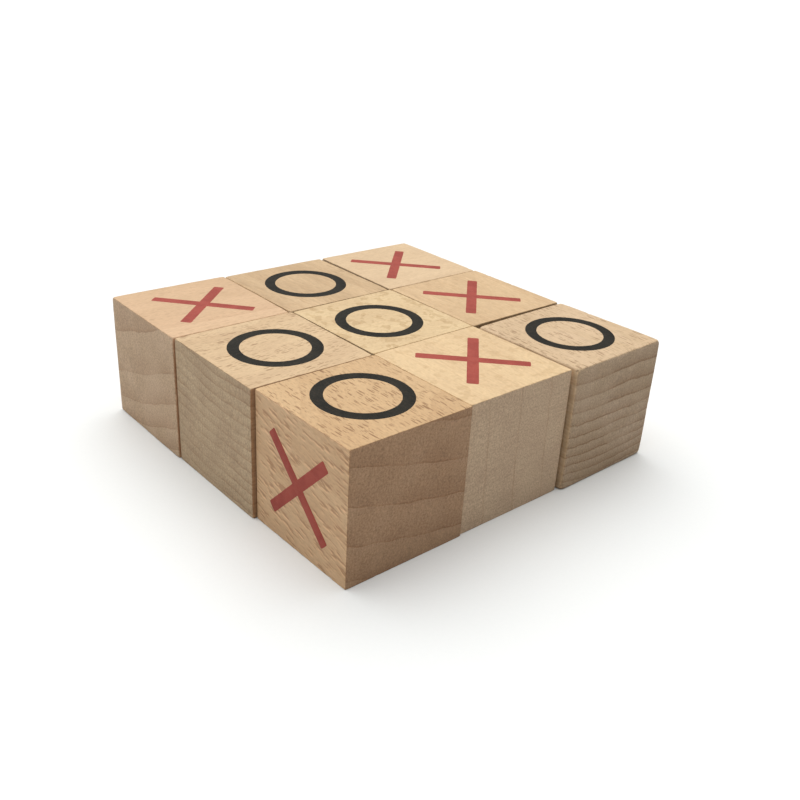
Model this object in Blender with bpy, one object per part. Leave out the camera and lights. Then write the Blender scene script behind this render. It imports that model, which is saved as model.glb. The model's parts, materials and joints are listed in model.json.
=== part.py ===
"""Tic tac toe set: loose beech cubes packed into a square block.

Every cube carries two printed marks on neighbouring faces, one red cross and
one black ring.  The marks that face up show a drawn game.

Frame: metres, +Z up, -Y is the front of the block and +X its right side.
The origin is on the surface the cubes stand on, under the block's middle.
"""
import math

import bmesh
import bpy
from mathutils import Euler, Matrix, Vector

MM = 0.001

# Driving dimensions.
CUBE_SIDE = 40.0 * MM
CUBE_PITCH = 40.4 * MM
EDGE_SEGMENTS = 3

INK_THICKNESS = 0.08 * MM
INK_CLEARANCE = 0.02 * MM

RING_DIAMETER = 27.8 * MM
RING_STROKE = 3.5 * MM
RING_STEPS = 48

CROSS_LENGTH = 33.3 * MM
CROSS_STROKE = 3.4 * MM
CROSS_CORNER_RADIUS = 0.5 * MM
CROSS_CORNER_STEPS = 3
CROSS_ARMS = 4

# The turn that takes a mark from the ground, where it is drawn with its top
# towards +Y, to the way each face of a cube looks.
FACE_TURNS = {
    "top": Euler((0.0, 0.0, 0.0)),
    "front": Euler((math.radians(90), 0.0, 0.0)),
    "right": Euler((math.radians(90), 0.0, math.radians(90))),
    "back": Euler((math.radians(90), 0.0, math.radians(180))),
    "left": Euler((math.radians(90), 0.0, math.radians(-90))),
}

# Base colour, roughness and metallic of each material.
FINISHES = {
    "beech_pale": ((0.80, 0.62, 0.40), 0.55, 0.0),
    "beech_warm": ((0.74, 0.52, 0.32), 0.55, 0.0),
    "beech_tan": ((0.66, 0.47, 0.30), 0.55, 0.0),
    "ink_red": ((0.52, 0.09, 0.08), 0.45, 0.0),
    "ink_black": ((0.035, 0.038, 0.040), 0.45, 0.0),
}
INK_OF = {"cross": "ink_red", "ring": "ink_black"}
OTHER_MARK = {"cross": "ring", "ring": "cross"}

# One row for each cube: its column and row in the block, how far it stands
# from its ideal place (mm along X and Y) and how far it is turned (degrees),
# the radius of its edges (mm), its wood, the mark on its top, and the side
# face that holds its other mark.
CUBES = {
    "front_left": (-1, -1, (-1.0, -0.75), -0.9, 0.6, "beech_warm", "cross", "back"),
    "front_middle": (0, -1, (-0.1, -0.6), -0.5, 0.4, "beech_warm", "ring", "left"),
    "front_right": (1, -1, (0.5, 0.1), 0.0, 0.3, "beech_warm", "ring", "front"),
    "middle_left": (-1, 0, (-0.2, -0.5), -0.5, 0.5, "beech_tan", "ring", "left"),
    "centre": (0, 0, (0.0, 0.0), 0.0, 0.3, "beech_pale", "ring", "right"),
    "middle_right": (1, 0, (0.0, 0.1), 0.0, 0.4, "beech_pale", "cross", "left"),
    "back_left": (-1, 1, (0.3, 0.3), -0.9, 0.5, "beech_warm", "cross", "right"),
    "back_middle": (0, 1, (0.4, 0.2), -0.5, 0.4, "beech_tan", "cross", "back"),
    "back_right": (1, 1, (1.2, 1.0), 0.6, 1.0, "beech_warm", "ring", "front"),
}

# How much larger than CUBE_SIDE some cubes were sawn (mm along X and Y).
EXTRA_SIZES = {"front_left": (0.7, 0.3), "front_middle": (1.0, 0.6)}

# How far each top mark is printed off its cube's middle (mm along X and Y),
# and how far it is turned there (degrees).
TOP_MARK_PLACES = {
    "front_left": (0.1, 1.05, -2.3),
    "front_middle": (0.8, 0.4, 0.0),
    "front_right": (-1.1, 0.7, 0.0),
    "middle_left": (0.2, -0.3, 0.0),
    "centre": (0.6, -1.8, 0.0),
    "middle_right": (-1.0, 1.1, 0.0),
    "back_left": (-0.4, -0.7, 0.2),
    "back_middle": (-0.1, -1.2, 0.0),
    "back_right": (0.1, 0.2, 0.0),
}
SIDE_MARK_PLACE = (-0.7, -0.4, 0.0)


def cube_size(place):
    """A cube's sides along its own X, Y and Z axes."""
    wider, deeper = EXTRA_SIZES.get(place, (0.0, 0.0))
    return Vector((CUBE_SIDE + wider * MM, CUBE_SIDE + deeper * MM, CUBE_SIDE))


def clear_scene():
    """Remove every object that the scene starts with."""
    for thing in list(bpy.data.objects):
        bpy.data.objects.remove(thing, do_unlink=True)


def make_material(slot, name):
    """A material of its own for one object, in its slot's finish."""
    colour, roughness, metallic = FINISHES[slot]
    material = bpy.data.materials.new(name)
    material.use_nodes = True
    shader = material.node_tree.nodes["Principled BSDF"]
    shader.inputs["Base Color"].default_value = (*colour, 1.0)
    shader.inputs["Roughness"].default_value = roughness
    shader.inputs["Metallic"].default_value = metallic
    material.diffuse_color = (*colour, 1.0)
    return material


def add_object(name, bm, slot):
    """Turn a bmesh into a scene object and give it its material."""
    bmesh.ops.recalc_face_normals(bm, faces=bm.faces)
    mesh = bpy.data.meshes.new(name)
    bm.to_mesh(mesh)
    bm.free()
    mesh.shade_smooth()
    mesh.set_sharp_from_angle(angle=math.radians(30))
    thing = bpy.data.objects.new(name, mesh)
    thing.data.materials.append(make_material(slot, f"{slot}.{name}"))
    bpy.context.scene.collection.objects.link(thing)
    return thing


def rounded_cube(size, edge_radius):
    """A cube standing on its local origin, with rounded edges and corners."""
    bm = bmesh.new()
    bmesh.ops.create_cube(bm, size=1.0)
    bmesh.ops.scale(bm, verts=bm.verts, vec=size)
    bmesh.ops.bevel(
        bm,
        geom=bm.edges[:],
        offset=edge_radius,
        segments=EDGE_SEGMENTS,
        profile=0.5,
        affect="EDGES",
    )
    bmesh.ops.translate(bm, verts=bm.verts, vec=(0.0, 0.0, size.z / 2))
    return bm


def thicken(bm):
    """Raise a flat outline on the ground into a film of ink."""
    raised = bmesh.ops.extrude_face_region(bm, geom=bm.faces[:])
    top_verts = [item for item in raised["geom"] if isinstance(item, bmesh.types.BMVert)]
    bmesh.ops.translate(bm, verts=top_verts, vec=(0.0, 0.0, INK_THICKNESS))


def ring_film():
    """A round ring of ink, spun from one radial strip."""
    bm = bmesh.new()
    outer = RING_DIAMETER / 2
    inner = outer - RING_STROKE
    ends = [bm.verts.new((radius, 0.0, 0.0)) for radius in (inner, outer)]
    strip = bm.edges.new(ends)
    bmesh.ops.spin(
        bm,
        geom=[*ends, strip],
        cent=(0.0, 0.0, 0.0),
        axis=(0.0, 0.0, 1.0),
        angle=math.tau,
        steps=RING_STEPS,
        use_merge=True,
    )
    thicken(bm)
    return bm


def arm_outline(direction):
    """Points round one arm of the cross, from one notch to its rounded tip."""
    half_stroke = CROSS_STROKE / 2
    reach = CROSS_LENGTH / 2 - CROSS_CORNER_RADIUS
    spread = half_stroke - CROSS_CORNER_RADIUS
    points = [Vector((half_stroke, -half_stroke))]
    for side, start in ((-1, -90), (1, 0)):
        for step in range(CROSS_CORNER_STEPS + 1):
            angle = math.radians(start + 90 * step / CROSS_CORNER_STEPS)
            corner = Vector((math.cos(angle), math.sin(angle))) * CROSS_CORNER_RADIUS
            points.append(Vector((reach, side * spread)) + corner)
    return [Matrix.Rotation(direction, 2) @ point for point in points]


def cross_film():
    """Two crossed strokes of ink in one film, along the face's diagonals."""
    bm = bmesh.new()
    outline = []
    for arm in range(CROSS_ARMS):
        outline += arm_outline(math.radians(45) + math.tau * arm / CROSS_ARMS)
    bm.faces.new([bm.verts.new((point.x, point.y, 0.0)) for point in outline])
    thicken(bm)
    return bm


FILMS = {"cross": cross_film, "ring": ring_film}


def add_mark(cube, place, where, kind, face, printed):
    """Print one mark on a face of a cube."""
    name = f"{place}_{where}_{kind}"
    mark = add_object(name, FILMS[kind](), INK_OF[kind])
    turn = FACE_TURNS[face].to_matrix()
    across = abs(cube_size(place).dot(turn @ Vector((0.0, 0.0, 1.0))))
    lift = across / 2 + INK_CLEARANCE
    on_face = Vector((printed[0] * MM, printed[1] * MM, lift))
    in_print = Matrix.Rotation(math.radians(printed[2]), 3, "Z")
    mark.parent = cube
    mark.location = Vector((0.0, 0.0, CUBE_SIDE / 2)) + turn @ on_face
    mark.rotation_euler = (turn @ in_print).to_euler()
    return mark


def add_cube(place, block):
    """One cube of the block with both of its marks."""
    column, row, nudge, turn, edge_radius, wood, top_mark, side_face = CUBES[place]
    solid = rounded_cube(cube_size(place), edge_radius * MM)
    cube = add_object(f"{place}_cube", solid, wood)
    cube.parent = block
    cube.location.x = column * CUBE_PITCH + nudge[0] * MM
    cube.location.y = row * CUBE_PITCH + nudge[1] * MM
    cube.rotation_euler.z = math.radians(turn)
    side_mark = OTHER_MARK[top_mark]
    top = add_mark(cube, place, "top", top_mark, "top", TOP_MARK_PLACES[place])
    side = add_mark(cube, place, "side", side_mark, side_face, SIDE_MARK_PLACE)
    return [cube, top, side]


def centre_block(block, things):
    """Slide the whole block so that its middle stands over the origin."""
    bpy.context.view_layer.update()
    corners = [thing.matrix_world @ vert.co for thing in things for vert in thing.data.vertices]
    block.location.x -= (min(c.x for c in corners) + max(c.x for c in corners)) / 2
    block.location.y -= (min(c.y for c in corners) + max(c.y for c in corners)) / 2
    bpy.context.view_layer.update()


def main():
    clear_scene()
    block = bpy.data.objects.new("block", None)
    bpy.context.scene.collection.objects.link(block)
    things = []
    for place in CUBES:
        things += add_cube(place, block)
    centre_block(block, things)


main()
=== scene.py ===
"""The looks of the tic tac toe set: nine beech cubes and their printed marks.

Every cube of the frame is replaced by a finer one, with worn edges and small
chips, cut from a solid block of procedural beech.  Every printed mark is
replaced by a finer film of ink whose outline bleeds a little into the wood.
Lengths are in metres, and inside the wood shader in millimetres.
"""
import json
import math
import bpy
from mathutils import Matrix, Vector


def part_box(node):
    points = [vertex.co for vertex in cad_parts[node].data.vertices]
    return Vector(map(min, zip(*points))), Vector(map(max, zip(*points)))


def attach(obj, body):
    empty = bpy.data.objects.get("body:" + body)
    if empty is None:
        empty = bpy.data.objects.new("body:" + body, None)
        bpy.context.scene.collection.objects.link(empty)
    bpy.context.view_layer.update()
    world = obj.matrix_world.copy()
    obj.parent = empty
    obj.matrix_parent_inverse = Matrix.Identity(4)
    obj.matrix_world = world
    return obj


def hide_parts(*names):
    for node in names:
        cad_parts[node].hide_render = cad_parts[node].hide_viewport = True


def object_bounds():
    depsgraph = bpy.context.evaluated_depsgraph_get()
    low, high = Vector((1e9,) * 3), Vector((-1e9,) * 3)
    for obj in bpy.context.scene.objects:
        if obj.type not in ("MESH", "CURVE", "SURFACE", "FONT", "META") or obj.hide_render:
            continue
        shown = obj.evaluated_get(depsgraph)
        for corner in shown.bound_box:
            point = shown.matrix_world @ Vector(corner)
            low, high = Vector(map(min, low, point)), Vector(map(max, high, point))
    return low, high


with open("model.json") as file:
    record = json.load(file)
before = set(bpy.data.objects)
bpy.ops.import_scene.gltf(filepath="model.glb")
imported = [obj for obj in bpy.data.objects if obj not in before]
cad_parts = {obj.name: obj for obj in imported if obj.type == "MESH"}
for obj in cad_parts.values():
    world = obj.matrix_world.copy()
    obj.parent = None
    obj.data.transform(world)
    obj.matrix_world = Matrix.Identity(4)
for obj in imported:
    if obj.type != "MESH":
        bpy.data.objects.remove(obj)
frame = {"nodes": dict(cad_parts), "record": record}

from types import SimpleNamespace

import bmesh
import bpy
import numpy as np
from mathutils import Euler, Matrix, Vector, noise

CAD_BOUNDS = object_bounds()
NODES = frame["nodes"]
SLOT_OF = {row["node"]: row["material_slot"] for row in frame["record"]["subparts"]}
BODIES = frame["record"]["behaviour"]["bodies"]

MM = 0.001

# Cube mesh: how finely each face and the band along each edge are divided,
# how wide a band is (in edge radii, and at least), and how its steps crowd
# towards the edge.
FACE_STEPS = 34
BAND_STEPS = 9
BAND_WIDTH = 2.6
BAND_LEAST = 1.2 * MM
BAND_CROWDING = 1.6

# Worn edges: their radius as a share of the CAD's, how it wanders along them,
# the small chips in them, and how corners are rubbed rounder.
EDGE_SHARE = 0.6
EDGE_WAVE_LENGTH = 9.0 * MM
EDGE_WAVE = 0.35
CHIP_LENGTH = 1.3 * MM
CHIP_START = 0.40
CHIP_DEPTH = 1.3 * MM
CORNER_WEAR = 1.2
CORNER_POWER = 12

# The cubes of the frame stand apart so that they can slide.  These are this
# much larger on every side, so that the block looks as tightly packed as it is.
SWELL = 0.13 * MM

# How near two vertices must be to be one, and two heights to be level.
SAME_PLACE = 0.001 * MM
SAME_LEVEL = 0.01 * MM

# How far apart the cubes lie in the noise that wears and colours them.
WEAR_STRIDE = Vector((11.3, 5.1, 2.7))
TREE_STRIDE = 37.0

# Ink film: heights above the wood, and how the outline wanders.
INK_ROOT = -0.04 * MM
INK_SHOULDER = 0.012 * MM
INK_TOP = 0.03 * MM
INK_BEVEL = 0.10 * MM
INK_STEP = 0.25 * MM
INK_SHARP_ANGLE = math.radians(40)
INK_WANDER = 0.045 * MM
INK_WANDER_LENGTH = 1.1 * MM
INK_BLEED = 0.10 * MM
INK_BLEED_LENGTH = 0.35 * MM
CROSS_ARMS = 4
CROSS_TIP_RADIUS = 0.5 * MM
CROSS_TIP_STEPS = 5

# The camera's place, seen from the middle of the block's underside, and its
# roll and field of view in degrees.
CAMERA_AT = Vector((205.5, -176.5, 144.1)) * MM
CAMERA_TARGET = Vector((17.2, -5.9, 20.1)) * MM
CAMERA_ROLL = 3.4
CAMERA_FOV = 47.2
CAMERA_NEAR = 10.0 * MM

# The floor: its side in metres, and the grain in its white.
FLOOR_SIZE = 30.0
FLOOR_COLOURS = ((0.742, 0.752, 0.742), (0.762, 0.772, 0.762))
FLOOR_GRAIN = 900.0
FLOOR_ROUGHNESS = 0.8
FLOOR_SHINE = 0.2

# One broad light overhead.  The room glows near its floor and dims above:
# how strongly low down and high up, and between which heights (sines).
LIGHT_STRENGTH = 4.45
LIGHT_SPREAD = 95.0
LIGHT_DIRECTION = Vector((0.26, -0.05, -1.0))
ROOM_COLOUR = (1.0, 1.0, 0.99)
ROOM_STRENGTH = (0.55, 0.05)
ROOM_FADE = (0.0, 0.25)
# How bright the room looks past the end of the floor.
ROOM_SEEN = 1.0

# Each cube's wood.  grain: the axis its fibres run along.  lean: how far they
# are turned from it (degrees), about Y and then about Z.  pith: where the cube
# lay from the middle of its tree, as a direction seen along the grain
# (degrees) and a distance (mm).  rings: the width of a year at the cube's
# middle (mm), how fast years narrow outwards (per mm) and how far into a year
# the middle is.  late and line: how dark late wood and the line at a year's
# end are.  fleck, dash: how dark the ray flecks are, and how long (mm).
# mottle, hackle, streak: how strong the ray patches, the torn fibres and the
# fibre streaks are; hackle also sets the painted shade and highlight on the
# tears and the painted sheen on bare rays.  tone: the colours of its palest
# and its deepest wood.
# end: what its end grain multiplies that colour by.
WOODS = {
    "front_left": dict(
        grain="Y", lean=(0, 2), pith=(252, 260), rings=(10.7, 0.0144, 0.05),
        late=0.34, line=0.20, fleck=0.3, dash=3.0, mottle=0.25, hackle=0.3, streak=0.6,
        tone=((0.58, 0.392, 0.236), (0.535, 0.36, 0.21)),
        end=(0.84, 0.88, 0.96),
    ),
    "front_middle": dict(
        grain="Y", lean=(0, -3), pith=(273, 240), rings=(3.3, 0.0, 0.45),
        late=0.30, line=0.30, fleck=0.9, dash=3.4, mottle=0.15, hackle=0.3, streak=0.5,
        tone=((0.58, 0.418, 0.245), (0.521, 0.364, 0.212)),
        end=(0.765, 0.785, 0.84),
    ),
    "front_right": dict(
        grain="X", lean=(-12, 4), pith=(257, 260), rings=(10.3, 0.0024, 0.27),
        late=0.35, line=0.28, fleck=1.0, dash=5.2, mottle=0.1, hackle=1.0, streak=0.9,
        tone=((0.53, 0.353, 0.186), (0.496, 0.321, 0.164)),
        end=(0.71, 0.66, 0.72),
    ),
    "middle_left": dict(
        grain="X", lean=(0, -3), pith=(230, 160), rings=(6.0, 0.0, 0.0),
        late=0.25, line=0.20, fleck=0.7, dash=6.0, mottle=0.25, hackle=0.3, streak=1.0,
        tone=((0.525, 0.37, 0.208), (0.453, 0.312, 0.171)),
        end=(0.72, 0.73, 0.77),
    ),
    "centre": dict(
        grain="Y", lean=(0, 4), pith=(4, 160), rings=(7.0, 0.0, 0.0),
        late=0.08, line=0.08, fleck=0.2, dash=3.0, mottle=1.0, hackle=0.1, streak=0.4,
        tone=((0.603, 0.45, 0.253), (0.549, 0.397, 0.219)),
        end=(0.74, 0.75, 0.80),
    ),
    "middle_right": dict(
        grain="X", lean=(0, 1), pith=(2, 260), rings=(12.4, 0.0, -0.065),
        late=0.04, line=0.35, fleck=0.2, dash=3.0, mottle=0.55, hackle=0.15, streak=0.4,
        tone=((0.615, 0.447, 0.25), (0.576, 0.411, 0.23)),
        end=(0.80, 0.80, 0.945),
    ),
    "back_left": dict(
        grain="Y", lean=(2, 0), pith=(240, 200), rings=(9.0, 0.0, 0.0),
        late=0.12, line=0.10, fleck=0.2, dash=3.0, mottle=0.3, hackle=0.2, streak=0.4,
        tone=((0.595, 0.435, 0.265), (0.55, 0.395, 0.238)),
        end=(0.74, 0.75, 0.80),
    ),
    "back_middle": dict(
        grain="X", lean=(0, 2), pith=(215, 200), rings=(5.0, 0.0, 0.0),
        late=0.20, line=0.15, fleck=0.3, dash=5.0, mottle=0.3, hackle=0.2, streak=0.8,
        tone=((0.565, 0.40, 0.224), (0.515, 0.355, 0.195)),
        end=(0.74, 0.75, 0.80),
    ),
    "back_right": dict(
        grain="X", lean=(-1, 3), pith=(269, 300), rings=(3.83, 0.0105, 0.26),
        late=0.50, line=0.45, fleck=1.0, dash=4.4, mottle=0.2, hackle=0.3, streak=0.9,
        tone=((0.56, 0.405, 0.253), (0.508, 0.362, 0.214)),
        end=(0.745, 0.75, 0.80),
    ),
}

# The cubes whose side towards +X, in the seam to the next cube, is darkened
# with painted shade; what the painted shade multiplies the wood's colour by;
# and how far under that side it fades.
SEAM_SHADE_CUBES = ("front_left", "front_middle")
SEAM_SHADE_COLOUR = (0.64, 0.52, 0.46)
SEAM_SHADE_REACH = (0.02 * MM, 0.22 * MM)

# How the block's axes turn so that the fibres run along X.
GRAIN_TURN = {"X": 0.0, "Y": -90.0}

# What the wood's colour is multiplied by: in late wood and as painted shade in
# torn hollows, in ray patches, in pores and ray flecks, and as a painted sheen
# where rays lie bare.
LATE_WOOD_AND_TEAR_SHADE = (0.70, 0.60, 0.53)
PATCH_OF_WOOD = (0.76, 0.70, 0.61)
DARK_OF_WOOD = (0.42, 0.32, 0.24)
# painted sheen, lighter and bluer, where rays lie bare
PAINTED_RAY_SHEEN = (1.09, 1.08, 1.17)

# How much of a surface's normal points along the fibres where end grain
# begins and where it is full, and likewise round the pith where the wood is
# cut towards it.
CUT_FADE = (0.45, 0.85)

# How far, in mm, growth rings stray in long and in short waves, and rays
# stray.  All scales below are cycles per mm: along the fibres first, then
# across them, unless another order is given.
RING_SWAY = 3.0
RING_RIPPLE = 1.2
LANE_DRIFT = 1.2
SWAY_SCALE = (0.018, 0.04, 0.04)
RIPPLE_SCALE = (0.05, 0.20, 0.20)
DRIFT_SCALE = (0.08, 0.15, 0.15)

# Growth rings: how late a year darkens, how near its end the line lies (mm),
# and how rings stand out more in some places than in others.
LATE_POWER = 1.3
LINE_FADE = (0.15, 0.75)
RING_PATCH_SCALE = (0.03, 0.07, 0.07)
RING_PATCH_FADE = (0.35, 0.62)
RING_PATCH_STRENGTH = (0.65, 1.35)
# Added to the count of years so that it is never negative.
YEARS_BEFORE = 100.0

# Ray flecks, long and short: width and depth (mm), and how the number of its
# own that each has gives its size.  Then how they crowd in some places.
LONG_FLECK = (0.54, 1.2, (0.15, 0.9, 0.14, 0.46))
SHORT_FLECK = (0.45, 0.9, (0.2, 1.0, 0.05, 0.42))
SHORT_FLECK_LENGTH = 0.5
SHORT_FLECK_STRENGTH = 0.6
FLECK_EDGE = (0.75, 1.0)
FLECK_CROWD_SCALE = (0.07, 0.16, 0.16)
FLECK_CROWD_FADE = (0.35, 0.60)
FLECK_CROWD_STRENGTH = (0.40, 1.0)

# Ray patches, broad and small: along the fibres, round the pith, out from it.
BROAD_PATCH_SCALE = (0.30, 0.5, 0.26)
BROAD_PATCH_FADE = (0.54, 0.59)
BROAD_PATCH_STRENGTH = 0.7
SMALL_PATCH_SCALE = (1.1, 1.5, 0.9)
SMALL_PATCH_FADE = (0.58, 0.66)
SMALL_PATCH_STRENGTH = 0.5

# Torn fibres: along the fibres, out from the pith, round it.  Then how far
# under a torn hollow the edge with its painted highlight lies (mm).
TEAR_SCALE = (0.20, 1.05, 0.5)
TEAR_FADE = (0.52, 0.66)
LIP_DROP = 0.6

# Rays on end grain: out from the pith, round it, along the fibres.
END_RAY_SCALE = (0.10, 2.6, 0.3)

# Fibres, fine grain, pores and slow changes of tone.
FIBRE_SCALE = (0.06, 1.9, 1.9)
GRAIN_SCALE = (0.6, 1.8, 1.8)
PORE_SCALE = (0.45, 5.2, 5.2)
PORE_FADE = (0.58, 0.72)
CLOUD_SCALE = (0.03, 0.10, 0.10)
CLOUD_FADE = (0.30, 0.70)

# How much of each texture shows.  The first of a pair is on the other cuts and
# the second on end grain, but for flecks where the wood is cut along its rings.
RING_SHOWN = (0.35, 1.0)
FLECK_SHOWN = (0.05, 1.0)
PORE_SHOWN = (0.10, 0.30)
GRAIN_SHOWN = (0.28, 0.90)
PATCH_SHARE = 0.85
# painted shade in torn hollows
TEAR_SHADE_SHARE = 0.90
FLECK_SHARE = 0.80
FIBRE_LIGHT = -0.35
# painted highlight on the edges under torn hollows
LIP_HIGHLIGHT = 0.22
END_RAY_LIGHT = 0.30

# Relief: how high each texture stands (a pair as above), and how strongly it
# tilts the light.
PORE_HEIGHT = (-0.3, -0.7)
FIBRE_HEIGHT = 0.5
GRAIN_HEIGHT = 0.5
FLECK_DEPTH = 0.6
TEAR_DEPTH = 0.6
WOOD_BUMP = 0.6
WOOD_BUMP_DEPTH = 0.06 * MM

# How rough the wood is, how much rougher on end grain, how the fibres vary
# that, and how strongly it shines.
WOOD_ROUGHNESS = 0.56
END_ROUGHNESS = 0.10
FIBRE_POLISH = 0.18
WOOD_SHINE = 0.28

# Wear along a cube's edges: how far it reaches, what rubbing and dirt
# multiply the colour by, and how much of that shows.
WEAR_SCALE = (0.35, 0.35, 0.35)
WEAR_FADE = (0.35, 0.70)
WEAR_REACH = (0.3 * MM, 1.1 * MM)
WEAR_START = 0.2
DIRT_FADE = (0.44, 0.56)
RUBBED = (1.10, 1.09, 1.06)
GRIMY = (0.82, 0.75, 0.68)
WEAR_SHARE = 0.55

# Ink: its colour where it is thick and where thin, how it shines, and how
# thick and thin places and bare specks are spread over it (cycles per mm).
INK_COLOURS = {
    "ink_red": ((0.325, 0.056, 0.038), (0.277, 0.043, 0.029)),
    "ink_black": ((0.016, 0.014, 0.0095), (0.010, 0.009, 0.006)),
}
INK_SHINE = {"ink_red": 0.2, "ink_black": 0.1}
INK_CLOUD_SCALE = 0.22
INK_CLOUD_FADE = (0.38, 0.62)
INK_GRIT_SCALE = 4.5
INK_ROUGHNESS = (0.50, 0.64)
INK_ROUGHNESS_FADE = (0.3, 0.7)
BARE_PORE_FADE = (0.45, 0.70)
BARE_SPECK_FADE = (0.74, 0.82)
BARE_SHARE = 0.15
WOOD_UNDER_INK = 0.7
INK_GRIT_HEIGHT = 0.35
INK_BUMP = 0.5
INK_BUMP_DEPTH = 0.05 * MM


class Tree:
    """Short ways to add and join the nodes of one node tree."""

    def __init__(self, tree):
        self.tree = tree

    def add(self, kind, **settings):
        node = self.tree.nodes.new(kind)
        for name, value in settings.items():
            setattr(node, name, value)
        return node

    def feed(self, socket, value):
        if isinstance(value, bpy.types.NodeSocket):
            self.tree.links.new(value, socket)
        else:
            socket.default_value = value

    def math(self, operation, *inputs, clamp=False):
        node = self.add("ShaderNodeMath", operation=operation, use_clamp=clamp)
        for socket, value in zip(node.inputs, inputs):
            self.feed(socket, value)
        return node.outputs[0]

    def scale(self, vector, factors):
        node = self.add("ShaderNodeVectorMath", operation="MULTIPLY")
        self.feed(node.inputs[0], vector)
        self.feed(node.inputs[1], factors)
        return node.outputs[0]

    def plus(self, first, second):
        return self.math("ADD", first, second)

    def times(self, first, second):
        return self.math("MULTIPLY", first, second)

    def swing(self, fac, amount):
        """A noise's 0 to 1 as a swing to either side of nothing."""
        return self.times(self.math("SUBTRACT", fac, 0.5), amount)

    def shade(self, rgb, amount):
        """A colour made lighter or darker by a number."""
        node = self.add("ShaderNodeVectorMath", operation="SCALE")
        self.feed(node.inputs[0], rgb)
        self.feed(node.inputs["Scale"], amount)
        return node.outputs[0]

    def dot(self, first, second):
        node = self.add("ShaderNodeVectorMath", operation="DOT_PRODUCT")
        self.feed(node.inputs[0], first)
        self.feed(node.inputs[1], second)
        return node.outputs["Value"]

    def join(self, x, y, z):
        node = self.add("ShaderNodeCombineXYZ")
        for socket, value in zip(node.inputs, (x, y, z)):
            self.feed(socket, value)
        return node.outputs[0]

    def split(self, vector):
        node = self.add("ShaderNodeSeparateXYZ")
        self.feed(node.inputs[0], vector)
        return tuple(node.outputs)

    def fade(self, value, start, end, low=0.0, high=1.0):
        """A smooth step from low to high as a value goes from start to end."""
        node = self.add("ShaderNodeMapRange", interpolation_type="SMOOTHSTEP")
        for name, number in zip(
            ("Value", "From Min", "From Max", "To Min", "To Max"),
            (value, start, end, low, high),
        ):
            self.feed(node.inputs[name], number)
        return node.outputs["Result"]

    def noise(self, vector, scale=1.0, detail=2.0, roughness=0.5):
        node = self.add("ShaderNodeTexNoise")
        self.feed(node.inputs["Vector"], vector)
        self.feed(node.inputs["Scale"], scale)
        self.feed(node.inputs["Detail"], detail)
        self.feed(node.inputs["Roughness"], roughness)
        return node.outputs["Fac"]

    def cells(self, vector):
        """Scattered points: how far the nearest one is, and a number of its own."""
        node = self.add("ShaderNodeTexVoronoi", feature="F1")
        self.feed(node.inputs["Vector"], vector)
        self.feed(node.inputs["Scale"], 1.0)
        return node.outputs["Distance"], self.split(node.outputs["Color"])[0]

    def mix(self, factor, first, second, blend="MIX"):
        node = self.add("ShaderNodeMix", data_type="RGBA", blend_type=blend)
        self.feed(node.inputs[0], factor)
        self.feed(node.inputs[6], first)
        self.feed(node.inputs[7], second)
        return node.outputs[2]

    def tint(self, rgb, by):
        """A colour multiplied by another."""
        return self.mix(1.0, rgb, by, "MULTIPLY")

    def spread(self, parts, scales):
        """A place to look up in a noise, each part of it stretched in its own way."""
        return self.join(*[self.times(part, scale) for part, scale in zip(parts, scales)])

    def object_in_mm(self, source):
        return self.scale(source["Object"], (1 / MM, 1 / MM, 1 / MM))


def colour(rgb):
    """A colour with the opaque fourth number that sockets want."""
    return (*rgb, 1.0)


BEECH_INPUTS = (
    ("Turn", "NodeSocketVector"),
    ("Pith", "NodeSocketVector"),
    ("Around", "NodeSocketVector"),
    ("Pith Distance", "NodeSocketFloat"),
    ("Ring Width", "NodeSocketFloat"),
    ("Squeeze", "NodeSocketFloat"),
    ("Phase", "NodeSocketFloat"),
    ("Late", "NodeSocketFloat"),
    ("Line", "NodeSocketFloat"),
    ("Fleck", "NodeSocketFloat"),
    ("Dash", "NodeSocketFloat"),
    ("Mottle", "NodeSocketFloat"),
    ("Hackle", "NodeSocketFloat"),
    ("Streak", "NodeSocketFloat"),
    ("Pale", "NodeSocketColor"),
    ("Deep", "NodeSocketColor"),
    ("End", "NodeSocketColor"),
    ("Seam Shade", "NodeSocketFloat"),
    ("Half Sides", "NodeSocketVector"),
)
BEECH_OUTPUTS = (
    ("Color", "NodeSocketColor"),
    ("Roughness", "NodeSocketFloat"),
    ("Height", "NodeSocketFloat"),
    ("Pore", "NodeSocketFloat"),
)


def locate(t, given):
    """Where each point lies in its tree: along the fibres and round the pith, in mm."""
    source = t.add("ShaderNodeTexCoord").outputs
    in_mm = t.object_in_mm(source)
    turned = t.add("ShaderNodeMapping", vector_type="POINT")
    t.feed(turned.inputs["Vector"], in_mm)
    t.feed(turned.inputs["Rotation"], given["Turn"])
    t.feed(turned.inputs["Location"], given["Pith"])
    in_tree = turned.outputs[0]
    along, side, up = t.split(in_tree)
    straight = t.math("SQRT", t.plus(t.math("POWER", side, 2.0), t.math("POWER", up, 2.0)))
    sway = t.swing(t.noise(t.scale(in_tree, SWAY_SCALE), detail=1.5), RING_SWAY)
    ripple = t.swing(t.noise(t.scale(in_tree, RIPPLE_SCALE), detail=2.0), RING_RIPPLE)
    drift = t.swing(t.noise(t.scale(in_tree, DRIFT_SCALE), detail=1.0), LANE_DRIFT)
    return SimpleNamespace(
        source=source,
        in_mm=in_mm,
        in_tree=in_tree,
        along=along,
        side=side,
        up=up,
        straight=straight,
        radius=t.plus(t.plus(straight, sway), ripple),
        lane=t.plus(t.dot(in_tree, given["Around"]), drift),
    )


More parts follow.
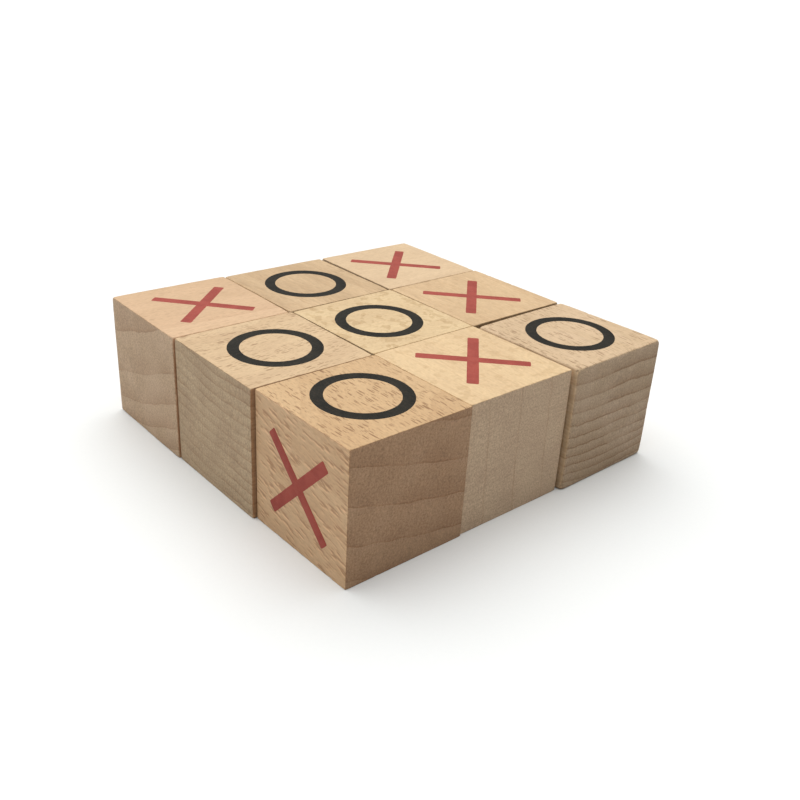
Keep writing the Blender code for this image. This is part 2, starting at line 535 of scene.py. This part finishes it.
def way_cut(t, given, at):
    """How far a surface is cut across the fibres, along the rays, and along the rings."""
    facing = t.add("ShaderNodeMapping", vector_type="VECTOR")
    t.feed(facing.inputs["Vector"], at.source["Normal"])
    t.feed(facing.inputs["Rotation"], given["Turn"])
    along, side, up = t.split(facing.outputs[0])
    around = t.math("SUBTRACT", t.times(side, at.up), t.times(up, at.side))
    around = t.math("ABSOLUTE", t.math("DIVIDE", around, at.straight))
    end = t.fade(t.math("ABSOLUTE", along), *CUT_FADE)
    quarter = t.fade(around, *CUT_FADE)
    flat = t.math("SUBTRACT", 1.0, t.math("MAXIMUM", end, quarter))
    return SimpleNamespace(end=end, quarter=quarter, flat=flat)


def growth_rings(t, given, at):
    """Each year's wood darkens slowly, then ends at a thin line and a sharp step back."""
    outward = t.math("SUBTRACT", at.radius, given["Pith Distance"])
    squeezed = t.plus(1.0, t.times(outward, given["Squeeze"]))
    years = t.math("DIVIDE", t.times(outward, squeezed), given["Ring Width"])
    season = t.math("FRACT", t.plus(t.plus(years, given["Phase"]), YEARS_BEFORE))
    late = t.times(t.math("POWER", t.fade(season, 0.0, 1.0), LATE_POWER), given["Late"])
    to_winter = t.times(t.math("SUBTRACT", 1.0, season), given["Ring Width"])
    line = t.times(t.fade(to_winter, *LINE_FADE, 1.0, 0.0), given["Line"])
    patch = t.noise(t.scale(at.in_tree, RING_PATCH_SCALE), detail=1.0)
    return t.times(t.plus(late, line), t.fade(patch, *RING_PATCH_FADE, *RING_PATCH_STRENGTH))


def lenses(t, at, length, width, depth, sizes):
    """Scattered lens shapes that lie along the fibres."""
    along = t.math("DIVIDE", at.along, length)
    place = t.join(along, t.times(at.lane, 1 / width), t.times(at.radius, 1 / depth))
    distance, own = t.cells(place)
    size = t.fade(own, *sizes)
    return t.fade(t.math("DIVIDE", distance, size), *FLECK_EDGE, 1.0, 0.0)


def ray_flecks(t, given, at):
    """The dark dashes that rays make where the wood is cut along its rings."""
    long = lenses(t, at, given["Dash"], *LONG_FLECK)
    short = lenses(t, at, t.times(given["Dash"], SHORT_FLECK_LENGTH), *SHORT_FLECK)
    either = t.math("MAXIMUM", long, t.times(short, SHORT_FLECK_STRENGTH))
    crowd = t.noise(t.scale(at.in_tree, FLECK_CROWD_SCALE), detail=1.0)
    crowd = t.fade(crowd, *FLECK_CROWD_FADE, *FLECK_CROWD_STRENGTH)
    return t.times(t.times(either, crowd), given["Fleck"])


def ray_patches(t, given, at):
    """The darker patches that rays make where the wood is cut towards its pith."""
    parts = (at.along, at.lane, at.radius)
    broad = t.noise(t.spread(parts, BROAD_PATCH_SCALE), detail=2.0, roughness=0.55)
    small = t.noise(t.spread(parts, SMALL_PATCH_SCALE), detail=1.5, roughness=0.6)
    broad = t.times(t.fade(broad, *BROAD_PATCH_FADE), BROAD_PATCH_STRENGTH)
    small = t.times(t.fade(small, *SMALL_PATCH_FADE), SMALL_PATCH_STRENGTH)
    return t.times(t.plus(broad, small), given["Mottle"])


def torn_fibres(t, given, at):
    """Short tears along the fibres: a hollow darkened with painted shade, with a painted highlight on
    the edge just under it, as light from above would fall.
    """
    hollows = []
    for rise in (0.0, LIP_DROP):
        radius = t.math("SUBTRACT", at.radius, rise)
        place = t.spread((at.along, radius, at.lane), TEAR_SCALE)
        hollows.append(t.fade(t.noise(place, detail=2.0, roughness=0.6), *TEAR_FADE))
    hollow, above = hollows
    # the edge under each hollow, where a painted highlight goes
    lip_highlight = t.math("SUBTRACT", above, hollow, clamp=True)
    return t.times(hollow, given["Hackle"]), t.times(lip_highlight, given["Hackle"])


def wood_textures(t, given, at, cut):
    """How strongly each texture shows at each point, by the way the wood is cut there."""
    hollow, lip_highlight = torn_fibres(t, given, at)
    rays = t.noise(t.spread((at.radius, at.lane, at.along), END_RAY_SCALE), detail=2.0, roughness=0.6)
    pore = t.noise(t.scale(at.in_tree, PORE_SCALE), detail=1.0, roughness=0.6)
    return SimpleNamespace(
        ring=t.times(growth_rings(t, given, at), t.fade(cut.end, 0.0, 1.0, *RING_SHOWN)),
        fleck=t.times(ray_flecks(t, given, at), t.fade(cut.flat, 0.0, 1.0, *FLECK_SHOWN)),
        patch=t.times(ray_patches(t, given, at), cut.quarter),
        hollow=hollow,
        lip_highlight=lip_highlight,
        end_ray=t.times(t.math("SUBTRACT", rays, 0.5), cut.end),
        fibre=t.noise(t.scale(at.in_tree, FIBRE_SCALE), detail=3.0, roughness=0.65),
        grain=t.noise(t.scale(at.in_tree, GRAIN_SCALE), detail=1.0, roughness=0.7),
        cloud=t.noise(t.scale(at.in_tree, CLOUD_SCALE), detail=2.0),
        pore=pore,
        pitted=t.fade(pore, *PORE_FADE),
    )


def stained(t, given, cut, look):
    """The wood's colour with its rings, rays and pores, painted shade in its tears and a painted sheen
    on bare rays.
    """
    toned = t.mix(t.fade(look.cloud, *CLOUD_FADE), given["Pale"], given["Deep"])
    toned = t.mix(look.ring, toned, t.tint(toned, colour(LATE_WOOD_AND_TEAR_SHADE)))
    toned = t.mix(t.times(look.patch, PATCH_SHARE), toned, t.tint(toned, colour(PATCH_OF_WOOD)))
    # painted sheen where rays lie bare on faces cut towards the pith
    ray_sheen = t.times(cut.quarter, given["Hackle"])
    toned = t.mix(ray_sheen, toned, t.tint(toned, colour(PAINTED_RAY_SHEEN)))
    # painted shade in torn hollows
    tear_shade = t.times(t.times(look.hollow, TEAR_SHADE_SHARE), cut.quarter)
    toned = t.mix(tear_shade, toned, t.tint(toned, colour(LATE_WOOD_AND_TEAR_SHADE)))
    dark = t.tint(toned, colour(DARK_OF_WOOD))
    toned = t.mix(t.times(look.fleck, FLECK_SHARE), toned, dark)
    pores = t.times(look.pitted, t.fade(cut.end, 0.0, 1.0, *PORE_SHOWN))
    return t.mix(pores, toned, dark)


def lightness(t, given, cut, look):
    """How much lighter or darker the fibres, the fine grain and end rays make the wood, with a painted
    highlight under tears.
    """
    light = t.plus(1.0, t.swing(look.grain, t.fade(cut.end, 0.0, 1.0, *GRAIN_SHOWN)))
    light = t.plus(light, t.swing(look.fibre, t.times(given["Streak"], FIBRE_LIGHT)))
    # painted highlight on the edges under torn hollows
    light = t.plus(light, t.times(t.times(look.lip_highlight, LIP_HIGHLIGHT), cut.quarter))
    return t.plus(light, t.times(look.end_ray, END_RAY_LIGHT))


def relief(t, cut, look):
    """The surface's height: pores, flecks and tears lie low, fibres and grain stand up."""
    height = t.times(look.pore, t.fade(cut.end, 0.0, 1.0, *PORE_HEIGHT))
    height = t.plus(height, t.times(look.fibre, FIBRE_HEIGHT))
    height = t.plus(height, t.times(look.grain, GRAIN_HEIGHT))
    height = t.math("SUBTRACT", height, t.times(look.fleck, FLECK_DEPTH))
    return t.math("SUBTRACT", height, t.times(look.hollow, TEAR_DEPTH))


def worn_edges(t, given, at, toned):
    """Rub a cube's edges paler, with a little darker dirt in places."""
    halves = t.split(given["Half Sides"])
    places = t.split(at.source["Object"])
    to_faces = [
        t.math("SUBTRACT", half, t.math("ABSOLUTE", place)) for half, place in zip(halves, places)
    ]
    nearer = t.math("MINIMUM", to_faces[0], to_faces[1])
    farther = t.math("MAXIMUM", to_faces[0], to_faces[1])
    to_edge = t.math("MAXIMUM", nearer, t.math("MINIMUM", farther, to_faces[2]))
    patch = t.noise(t.scale(at.in_mm, WEAR_SCALE), detail=3.0, roughness=0.65)
    reach = t.fade(patch, *WEAR_FADE, *WEAR_REACH)
    wear = t.fade(t.math("DIVIDE", to_edge, reach), WEAR_START, 1.0, 1.0, 0.0)
    rubbed = t.tint(toned, colour(RUBBED))
    grimy = t.tint(toned, colour(GRIMY))
    worn = t.mix(t.fade(patch, *DIRT_FADE), grimy, rubbed)
    return t.mix(t.times(wear, WEAR_SHARE), toned, worn)


def paint_seam_shade(t, given, at, worn):
    """Darken the side towards +X with painted shade, where it faces into the seam to the next cube."""
    half = t.split(given["Half Sides"])[0]
    to_side = t.math("SUBTRACT", half, t.split(at.source["Object"])[0])
    near = t.fade(to_side, *SEAM_SHADE_REACH, 1.0, 0.0)
    return t.mix(t.times(near, given["Seam Shade"]), worn, t.tint(worn, colour(SEAM_SHADE_COLOUR)))


def beech_group():
    """Solid beech in three dimensions: rings, rays, pores and fibres."""
    group = bpy.data.node_groups.new("beech", "ShaderNodeTree")
    for name, kind in BEECH_INPUTS:
        group.interface.new_socket(name, in_out="INPUT", socket_type=kind)
    for name, kind in BEECH_OUTPUTS:
        group.interface.new_socket(name, in_out="OUTPUT", socket_type=kind)
    t = Tree(group)
    given = t.add("NodeGroupInput").outputs
    at = locate(t, given)
    cut = way_cut(t, given, at)
    look = wood_textures(t, given, at, cut)

    toned = t.shade(stained(t, given, cut, look), lightness(t, given, cut, look))
    toned = t.mix(cut.end, toned, t.tint(toned, given["End"]))
    toned = worn_edges(t, given, at, toned)
    # painted shade on the side towards +X, in the seam to the next cube
    toned = paint_seam_shade(t, given, at, toned)
    roughness = t.plus(WOOD_ROUGHNESS, t.times(cut.end, END_ROUGHNESS))
    roughness = t.math("SUBTRACT", roughness, t.swing(look.fibre, FIBRE_POLISH))

    result = t.add("NodeGroupOutput").inputs
    t.feed(result["Color"], toned)
    t.feed(result["Roughness"], roughness)
    t.feed(result["Height"], relief(t, cut, look))
    t.feed(result["Pore"], t.math("MAXIMUM", look.pitted, look.fleck))
    return group


def place_beech(t, group, place, half):
    """The beech group's node in a material, cut as this cube's wood was."""
    wood = WOODS[place]
    direction, distance = wood["pith"]
    node = t.add("ShaderNodeGroup", node_tree=group)
    about_z = wood["lean"][1] + GRAIN_TURN[wood["grain"]]
    angle = math.radians(direction)
    tree = TREE_STRIDE * list(WOODS).index(place)
    settings = {
        "Turn": Euler([math.radians(a) for a in (0, wood["lean"][0], about_z)]),
        "Pith": (tree, distance * math.cos(angle), distance * math.sin(angle)),
        "Around": (0.0, -math.sin(angle), math.cos(angle)),
        "Pith Distance": distance,
        "Ring Width": wood["rings"][0],
        "Squeeze": wood["rings"][1],
        "Phase": wood["rings"][2],
        "Late": wood["late"],
        "Line": wood["line"],
        "Fleck": wood["fleck"],
        "Dash": wood["dash"],
        "Mottle": wood["mottle"],
        "Hackle": wood["hackle"],
        "Streak": wood["streak"],
        "Pale": colour(wood["tone"][0]),
        "Deep": colour(wood["tone"][1]),
        "End": colour(wood["end"]),
        # 1 for the cubes that get painted shade on their side towards +X, in a seam
        "Seam Shade": float(place in SEAM_SHADE_CUBES),
        "Half Sides": half,
    }
    for name, value in settings.items():
        node.inputs[name].default_value = value
    return node.outputs


def new_material(name):
    """An empty material with its tree, and its Principled shader."""
    material = bpy.data.materials.new(name)
    material.use_nodes = True
    return material, Tree(material.node_tree), material.node_tree.nodes["Principled BSDF"]


def bump(t, height, strength, depth):
    """A normal that tilts with the slopes of a height."""
    node = t.add("ShaderNodeBump")
    t.feed(node.inputs["Strength"], strength)
    t.feed(node.inputs["Distance"], depth)
    t.feed(node.inputs["Height"], height)
    return node.outputs["Normal"]


def wood_material(group, place, half):
    """A cube's bare, fine-sanded beech."""
    material, t, shader = new_material(f"beech_{place}")
    wood = place_beech(t, group, place, half)
    t.feed(shader.inputs["Base Color"], wood["Color"])
    t.feed(shader.inputs["Roughness"], wood["Roughness"])
    t.feed(shader.inputs["Normal"], bump(t, wood["Height"], WOOD_BUMP, WOOD_BUMP_DEPTH))
    shader.inputs["Specular IOR Level"].default_value = WOOD_SHINE
    return material


def ink_material(group, place, slot, half):
    """Matt ink that the wood's pores and fibres show through a little."""
    material, t, shader = new_material(f"{slot}_{place}")
    wood = place_beech(t, group, place, half)
    in_mm = t.object_in_mm(t.add("ShaderNodeTexCoord").outputs)
    thick, thin = INK_COLOURS[slot]
    cloud = t.noise(in_mm, scale=INK_CLOUD_SCALE, detail=3.0)
    grit = t.noise(in_mm, scale=INK_GRIT_SCALE, detail=2.0, roughness=0.7)
    ink = t.mix(t.fade(cloud, *INK_CLOUD_FADE), colour(thick), colour(thin))
    pores = t.times(t.times(wood["Pore"], t.fade(grit, *BARE_PORE_FADE)), BARE_SHARE)
    bare = t.plus(pores, t.fade(grit, *BARE_SPECK_FADE, 0.0, BARE_SHARE))
    t.feed(shader.inputs["Base Color"], t.mix(bare, ink, wood["Color"]))
    t.feed(shader.inputs["Roughness"], t.fade(grit, *INK_ROUGHNESS_FADE, *INK_ROUGHNESS))
    height = t.plus(t.times(wood["Height"], WOOD_UNDER_INK), t.times(grit, INK_GRIT_HEIGHT))
    t.feed(shader.inputs["Normal"], bump(t, height, INK_BUMP, INK_BUMP_DEPTH))
    shader.inputs["Specular IOR Level"].default_value = INK_SHINE[slot]
    return material


def cad_cube(node):
    """A CAD cube's place (its middle, turned as it stands), half sides and edge radius."""
    low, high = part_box(node)
    points = [v.co for v in NODES[node].data.vertices]
    under = [co for co in points if co.z < low.z + SAME_LEVEL]
    front_right = max(under, key=lambda co: co.x - co.y)
    back_right = max(under, key=lambda co: co.x + co.y)
    edge = back_right - front_right
    turn = math.atan2(-edge.x, edge.y)
    place = Matrix.Translation((low + high) / 2) @ Matrix.Rotation(turn, 4, "Z")
    into_cube = place.inverted()
    inside = [into_cube @ co for co in points]
    half = Vector([max(co[axis] for co in inside) for axis in range(3)])
    return place, half, half.y - edge.length / 2


def edge_radius(point, half, radius, seed):
    """The radius that wear has left on the edges near a point of a cube."""
    drift = noise.noise(point / EDGE_WAVE_LENGTH + seed)
    chip = max(0.0, noise.noise(point / CHIP_LENGTH - seed) - CHIP_START)
    at_corner = min(abs(part) / reach for part, reach in zip(point, half))
    wear = 1.0 + EDGE_WAVE * drift + CORNER_WEAR * at_corner**CORNER_POWER
    return radius * wear + CHIP_DEPTH * chip


def edge_ticks(half, band):
    """Places to divide a side at: evenly in its middle, and ever closer in the bands at its ends."""
    inner = np.linspace(band - half, half - band, FACE_STEPS + 1)
    share = np.linspace(0, 1, BAND_STEPS + 1)[1:]
    outer = half - band * (1 - share) ** BAND_CROWDING
    return np.concatenate([-outer[::-1], inner, outer])


def rounded(point, half, radius):
    """Where a point of a sharp box lies once the box's edges have a radius."""
    core = Vector([max(radius - reach, min(reach - radius, part)) for part, reach in zip(point, half)])
    return core + (point - core).normalized() * radius


def add_side(bm, axis, sign, ticks, half, worn):
    """One side of a cube as a grid of faces, each point moved to where wear has left it."""
    across, along = (axis + 1) % 3, (axis + 2) % 3
    grid = []
    for first in ticks[across]:
        row = []
        for second in ticks[along]:
            point = Vector()
            point[axis] = sign * half[axis]
            point[across] = first
            point[along] = second * sign
            row.append(bm.verts.new(worn(point)))
        grid.append(row)
    for left, right in zip(grid, grid[1:]):
        for k in range(len(left) - 1):
            bm.faces.new((left[k], right[k], right[k + 1], left[k + 1]))


def worn_cube(name, half, radius, seed):
    """A finely divided cube whose edges are rounded unevenly and slightly chipped."""

    def worn(point):
        return rounded(point, half, edge_radius(point, half, radius, seed))

    band = max(BAND_LEAST, BAND_WIDTH * radius)
    ticks = [edge_ticks(reach, band) for reach in half]
    bm = bmesh.new()
    for axis in range(3):
        for sign in (-1, 1):
            add_side(bm, axis, sign, ticks, half, worn)
    bmesh.ops.remove_doubles(bm, verts=bm.verts, dist=SAME_PLACE)
    return finish_mesh(name, bm)


def finish_mesh(name, bm, sharp_angle=None):
    """A scene object from a bmesh, shaded smooth but for edges sharper than an angle."""
    bmesh.ops.recalc_face_normals(bm, faces=bm.faces)
    mesh = bpy.data.meshes.new(name)
    bm.to_mesh(mesh)
    bm.free()
    mesh.shade_smooth()
    if sharp_angle is not None:
        mesh.set_sharp_from_angle(angle=sharp_angle)
    thing = bpy.data.objects.new(name, mesh)
    bpy.context.scene.collection.objects.link(thing)
    return thing


# Turns a mark from the ground to each face of a cube, by the way it looks.
FACE_TURNS = {
    (0, 0, 1): Euler((0, 0, 0)),
    (0, -1, 0): Euler((math.radians(90), 0, 0)),
    (1, 0, 0): Euler((math.radians(90), 0, math.radians(90))),
    (0, 1, 0): Euler((math.radians(90), 0, math.radians(180))),
    (-1, 0, 0): Euler((math.radians(90), 0, math.radians(-90))),
}


def printed_turn(kind, flat):
    """How far a mark is turned on its face, told by a cross's notches, which else lie on its axes."""
    if kind == "ring":
        return 0.0
    notch = min(flat, key=lambda point: point.length)
    quarter = math.radians(90)
    return (math.atan2(notch.y, notch.x) + quarter / 2) % quarter - quarter / 2


def seen_flat(points, place):
    """Points as they lie in a face's own plane."""
    into_face = place.inverted()
    return [(into_face @ point).to_2d() for point in points]


def cad_mark(node, kind, cube_place, half):
    """A CAD mark's place on its cube's face, and its points seen from there."""
    into_cube = cube_place.inverted()
    points = [into_cube @ v.co for v in NODES[node].data.vertices]
    low = Vector([min(point[axis] for point in points) for axis in range(3)])
    high = Vector([max(point[axis] for point in points) for axis in range(3)])
    middle = (low + high) / 2
    facing = max(FACE_TURNS, key=lambda way: middle.dot(Vector(way)))
    outward = Vector(facing)
    on_face = middle + outward * (abs(half.dot(outward)) - middle.dot(outward))
    place = Matrix.Translation(on_face) @ FACE_TURNS[facing].to_matrix().to_4x4()
    turn = printed_turn(kind, seen_flat(points, place))
    place = place @ Matrix.Rotation(turn, 4, "Z")
    return place, seen_flat(points, place)


def circle(radius):
    """Points round a circle, anticlockwise, in small steps."""
    steps = round(math.tau * radius / INK_STEP)
    angles = [math.tau * k / steps for k in range(steps)]
    return [Vector((math.cos(angle), math.sin(angle))) * radius for angle in angles]


def cross_outline(length, stroke):
    """The outline of two crossed strokes with rounded tips, in small steps."""
    corners = []
    for arm in range(CROSS_ARMS):
        turn = Matrix.Rotation(math.radians(45) + math.tau * arm / CROSS_ARMS, 2)
        corners.append(turn @ Vector((stroke / 2, -stroke / 2)))
        for side, start in ((-1, -90), (1, 0)):
            middle = Vector((length / 2 - CROSS_TIP_RADIUS, side * (stroke / 2 - CROSS_TIP_RADIUS)))
            for step in range(CROSS_TIP_STEPS + 1):
                angle = math.radians(start + 90 * step / CROSS_TIP_STEPS)
                tip = Vector((math.cos(angle), math.sin(angle))) * CROSS_TIP_RADIUS
                corners.append(turn @ (middle + tip))
    outline = []
    for here, there in zip(corners, corners[1:] + corners[:1]):
        steps = max(1, round((there - here).length / INK_STEP))
        outline += [here.lerp(there, k / steps) for k in range(steps)]
    return outline


def outward_normals(outline):
    """The outward direction at each point of a closed outline that runs anticlockwise."""
    normals = []
    for before, after in zip(outline[-1:] + outline[:-1], outline[1:] + outline[:1]):
        along = (after - before).normalized()
        normals.append(Vector((along.y, -along.x)))
    return normals


def bleed(outline, normals, fibres, seed):
    """Let ink wander over an outline, and creep along the fibres where they end on it."""
    moved = []
    for point, normal in zip(outline, normals):
        here = Vector((point.x, point.y, 0.0))
        wander = noise.noise(here / INK_WANDER_LENGTH + seed) * INK_WANDER
        hair = max(0.0, noise.noise(here / INK_BLEED_LENGTH - seed)) * INK_BLEED
        moved.append(point + normal * wander + fibres * (hair * fibres.dot(normal)))
    return moved


def add_wall(bm, rings):
    """Faces between closed rings of points, one above the other."""
    loops = [[bm.verts.new(point) for point in ring] for ring in rings]
    for lower, upper in zip(loops, loops[1:]):
        for k in range(len(lower)):
            n = (k + 1) % len(lower)
            bm.faces.new((lower[k], lower[n], upper[n], upper[k]))
    return loops


def film_wall(bm, outline, normals):
    """An ink film's rim: up from the wood, over its shoulder, to its top."""
    levels = ((INK_ROOT, 0.0), (INK_SHOULDER, 0.0), (INK_TOP, INK_BEVEL))
    rings = []
    for height, inset in levels:
        ring = [point - normal * inset for point, normal in zip(outline, normals)]
        rings.append([(point.x, point.y, height) for point in ring])
    return add_wall(bm, rings)


def cap(bm, loops):
    """Close a film's top or underside between its outlines."""
    edges = [bm.edges.get((loop[k - 1], loop[k])) for loop in loops for k in range(len(loop))]
    bmesh.ops.triangle_fill(bm, use_beauty=True, use_dissolve=False, edges=edges)


def ink_film(name, kind, points, fibres, seed):
    """A printed mark as a thin film of ink, sized by the CAD mark it stands for."""
    if kind == "ring":
        reach = [point.length for point in points]
        inner, outer = circle(min(reach)), circle(max(reach))
        into_hole = [-normal for normal in outward_normals(inner)]
        outlines = [(outer, outward_normals(outer)), (inner, into_hole)]
    else:
        diagonal = Vector((1, 1)).normalized()
        length = 2 * max(point.dot(diagonal) for point in points)
        stroke = math.sqrt(2) * min(point.length for point in points)
        outline = cross_outline(length, stroke)
        outlines = [(outline, outward_normals(outline))]
    bm = bmesh.new()
    walls = []
    for outline, normals in outlines:
        walls.append(film_wall(bm, bleed(outline, normals, fibres, seed), normals))
    cap(bm, [wall[0] for wall in walls])
    cap(bm, [wall[-1] for wall in walls])
    return finish_mesh(name, bm, INK_SHARP_ANGLE)


def fibres_on_face(wood, place):
    """The way the fibres run across a face, in that face's own plane."""
    axis = Vector((1, 0, 0)) if wood["grain"] == "X" else Vector((0, 1, 0))
    return (place.to_3x3().inverted() @ axis).to_2d()


def build_cube(group, body):
    """One cube and its two marks, in place of the CAD's."""
    cube_node, *mark_nodes = BODIES[body]
    place, cad_half, radius = cad_cube(cube_node)
    half = cad_half + Vector((SWELL, SWELL, SWELL))
    seed = WEAR_STRIDE * (1 + list(WOODS).index(body))
    cube = worn_cube(f"{body}_beech", half, EDGE_SHARE * radius, seed)
    cube.data.materials.append(wood_material(group, body, half))
    add_piece(cube, place, body, cube_node)
    for node in mark_nodes:
        kind = node.rsplit("_", 1)[1]
        mark_place, points = cad_mark(node, kind, place, half)
        fibres = fibres_on_face(WOODS[body], mark_place)
        film = ink_film(f"{node}_ink", kind, points, fibres, seed)
        film.data.transform(mark_place)
        film.data.materials.append(ink_material(group, body, SLOT_OF[node], half))
        add_piece(film, place, body, node)


def add_piece(thing, place, body, node):
    """Put a piece in its place, let it ride on its body, and hide what it replaces."""
    thing.matrix_world = place
    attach(thing, body)
    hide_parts(node)


def add_floor():
    """A plain white floor under the cubes, with the faintest grain of paper."""
    bm = bmesh.new()
    bmesh.ops.create_grid(bm, x_segments=2, y_segments=2, size=FLOOR_SIZE / 2)
    floor = finish_mesh("floor", bm)
    floor.location.z = CAD_BOUNDS[0][2] - SWELL
    material, t, shader = new_material("floor_white")
    in_m = t.add("ShaderNodeTexCoord").outputs["Object"]
    paper = t.noise(in_m, scale=FLOOR_GRAIN, detail=3.0)
    t.feed(shader.inputs["Base Color"], t.mix(paper, *map(colour, FLOOR_COLOURS)))
    shader.inputs["Roughness"].default_value = FLOOR_ROUGHNESS
    shader.inputs["Specular IOR Level"].default_value = FLOOR_SHINE
    floor.data.materials.append(material)


def add_camera():
    """The camera, looking down at the block's near corner."""
    data = bpy.data.cameras.new("camera")
    data.angle = math.radians(CAMERA_FOV)
    data.clip_start = CAMERA_NEAR
    data.clip_end = 2 * FLOOR_SIZE
    camera = bpy.data.objects.new("camera", data)
    camera.location = CAMERA_AT
    facing = (CAMERA_TARGET - CAMERA_AT).to_track_quat("-Z", "Y").to_matrix()
    roll = Matrix.Rotation(math.radians(CAMERA_ROLL), 3, "Z")
    camera.rotation_euler = (facing @ roll).to_euler()
    bpy.context.scene.collection.objects.link(camera)
    bpy.context.scene.camera = camera


def add_light():
    """A broad soft light from nearly straight above."""
    data = bpy.data.lights.new("overhead", "SUN")
    data.energy = LIGHT_STRENGTH
    data.angle = math.radians(LIGHT_SPREAD)
    light = bpy.data.objects.new("overhead", data)
    light.rotation_euler = LIGHT_DIRECTION.to_track_quat("-Z", "Y").to_euler()
    bpy.context.scene.collection.objects.link(light)


def add_room():
    """A room that lights the cubes from low down, and looks plain and pale."""
    world = bpy.data.worlds.new("room")
    world.use_nodes = True
    t = Tree(world.node_tree)
    height = t.split(t.add("ShaderNodeTexCoord").outputs["Generated"])[2]
    glow = t.fade(height, *ROOM_FADE, *ROOM_STRENGTH)
    seen = t.times(t.add("ShaderNodeLightPath").outputs["Is Camera Ray"], ROOM_SEEN)
    background = world.node_tree.nodes["Background"]
    t.feed(background.inputs["Color"], colour(ROOM_COLOUR))
    t.feed(background.inputs["Strength"], t.math("MAXIMUM", glow, seen))
    bpy.context.scene.world = world


def main():
    group = beech_group()
    for body in BODIES:
        build_cube(group, body)
    add_floor()
    add_camera()
    add_light()
    add_room()
    bpy.context.scene.view_settings.view_transform = "Standard"


main()
